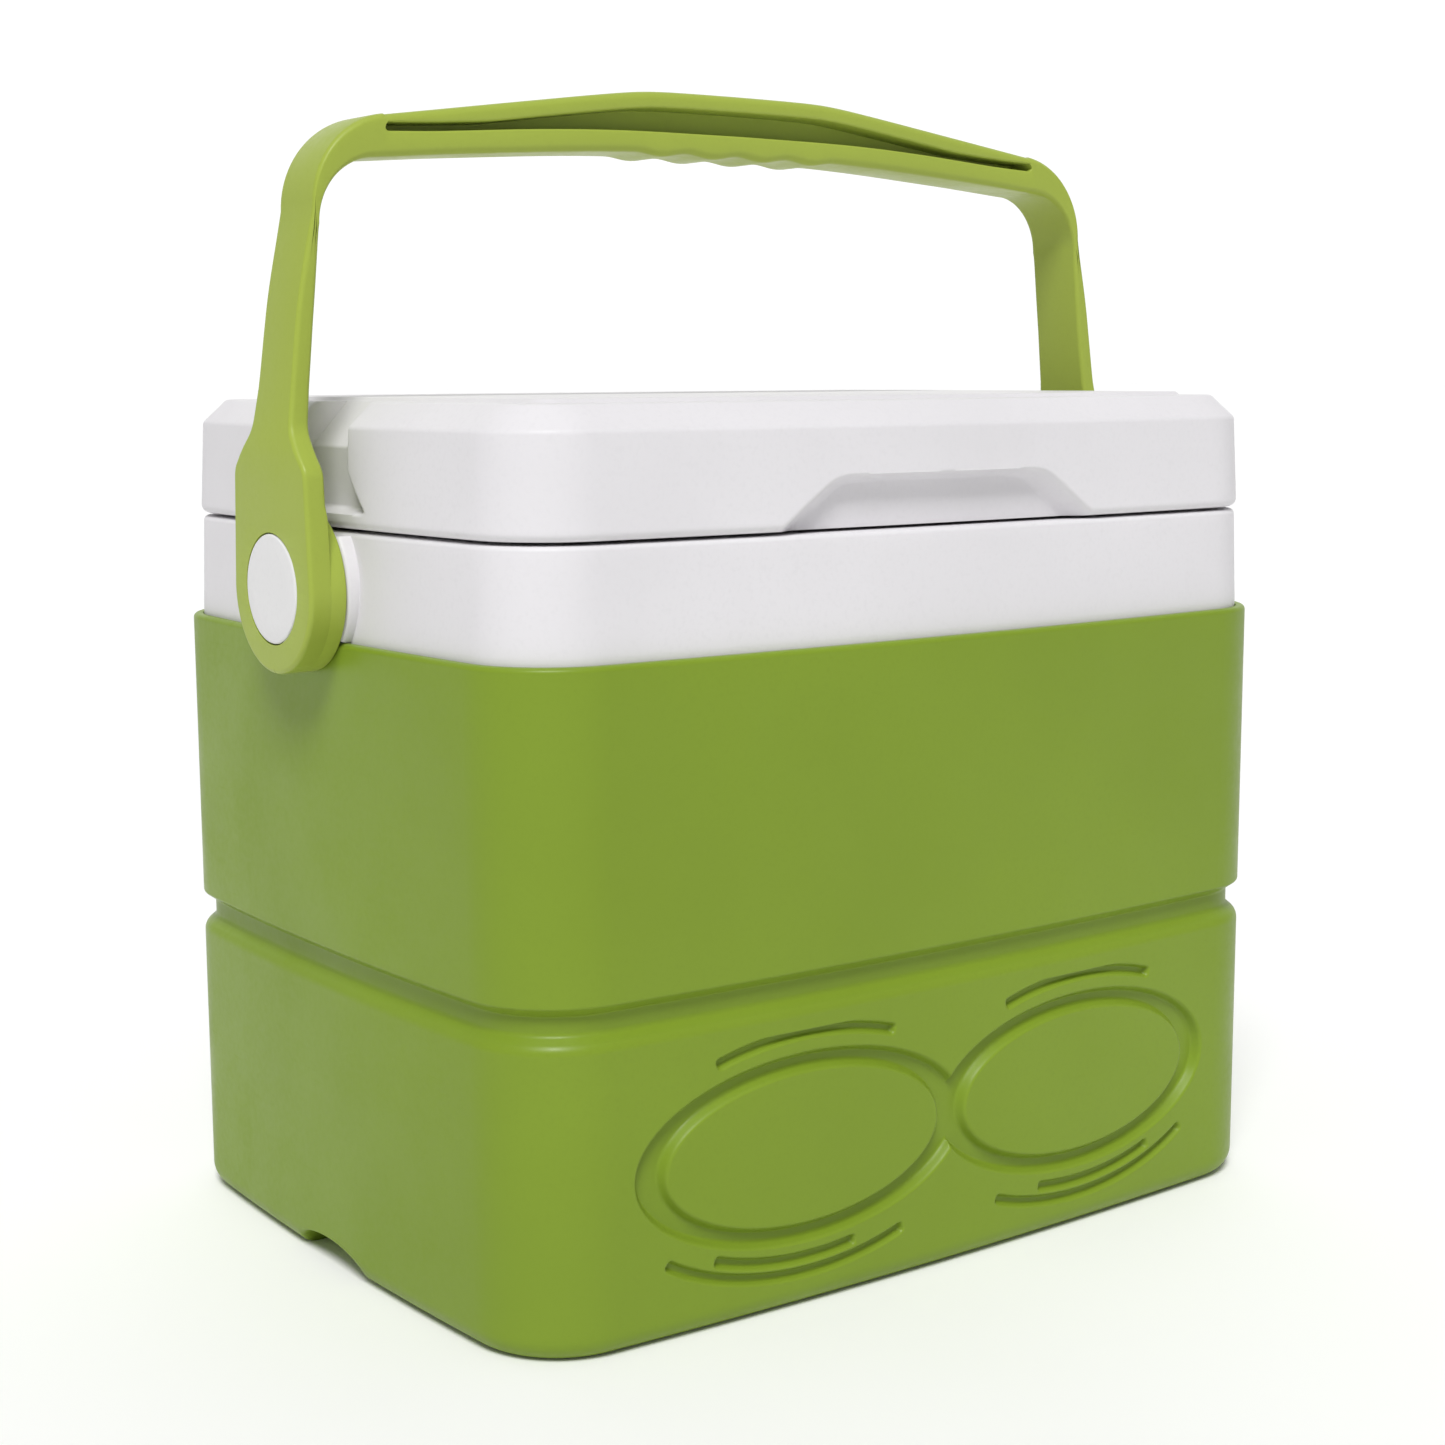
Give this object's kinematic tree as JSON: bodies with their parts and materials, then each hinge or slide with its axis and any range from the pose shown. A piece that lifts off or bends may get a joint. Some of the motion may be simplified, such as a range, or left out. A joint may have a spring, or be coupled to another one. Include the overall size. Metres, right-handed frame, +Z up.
{
  "type": "cool box",
  "caption": "Insulated rectangular cool box with a bowed moulded body, white collar and hinged lid, and a swinging bail handle with a grip.",
  "frame": {"origin": "middle of the footprint, on the floor the box stands on", "axes": "+Z up; the long side lies along X; the front, with the lid's finger recess and the two ovals, faces -Y"},
  "size_m": [0.3458, 0.243, 0.377],
  "materials": {
    "body_green": "satin moulded polypropylene, mid green",
    "handle_green": "satin moulded polypropylene, yellow green",
    "white_plastic": "satin moulded plastic, cool white",
    "rigid_foam": "rigid insulating foam, pale cream",
    "plated_steel": "zinc plated steel",
    "soft_rubber": "matt black seal"
  },
  "bodies": {
    "chest": {"outer_body": "body_green", "body_foam": "rigid_foam", "inner_liner": "white_plastic", "collar": "white_plastic", "pivot_stud_left": "white_plastic", "pivot_stud_right": "white_plastic", "pivot_washer_left": "plated_steel", "pivot_washer_right": "plated_steel", "pivot_screw_left": "plated_steel", "pivot_screw_right": "plated_steel", "hinge_base_left": "white_plastic", "hinge_base_right": "white_plastic", "hinge_pin_left": "plated_steel", "hinge_pin_right": "plated_steel", "hinge_base_screw_1": "plated_steel", "hinge_base_screw_2": "plated_steel", "hinge_base_screw_3": "plated_steel", "hinge_base_screw_4": "plated_steel"},
    "handle": {"handle_frame": "handle_green", "pivot_bush_left": "white_plastic", "pivot_bush_right": "white_plastic", "pivot_cap_left": "white_plastic", "pivot_cap_right": "white_plastic"},
    "lid": {"lid_shell": "white_plastic", "lid_foam": "rigid_foam", "lid_liner": "white_plastic", "lid_gasket": "soft_rubber", "hinge_leaf_left": "white_plastic", "hinge_leaf_right": "white_plastic", "hinge_leaf_screw_1": "plated_steel", "hinge_leaf_screw_2": "plated_steel", "hinge_leaf_screw_3": "plated_steel", "hinge_leaf_screw_4": "plated_steel"}
  },
  "joints": [
    {"name": "handle_swing", "type": "hinge", "parent": "chest", "child": "handle", "pos_m": [0, 0, 0.22], "axis": [1, 0, 0], "range_deg": [-108, 108]},
    {"name": "lid_open", "type": "hinge", "parent": "chest", "child": "lid", "pos_m": [0, 0.1184, 0.238], "axis": [-1, 0, 0], "range_deg": [0, 21]}
  ]
}
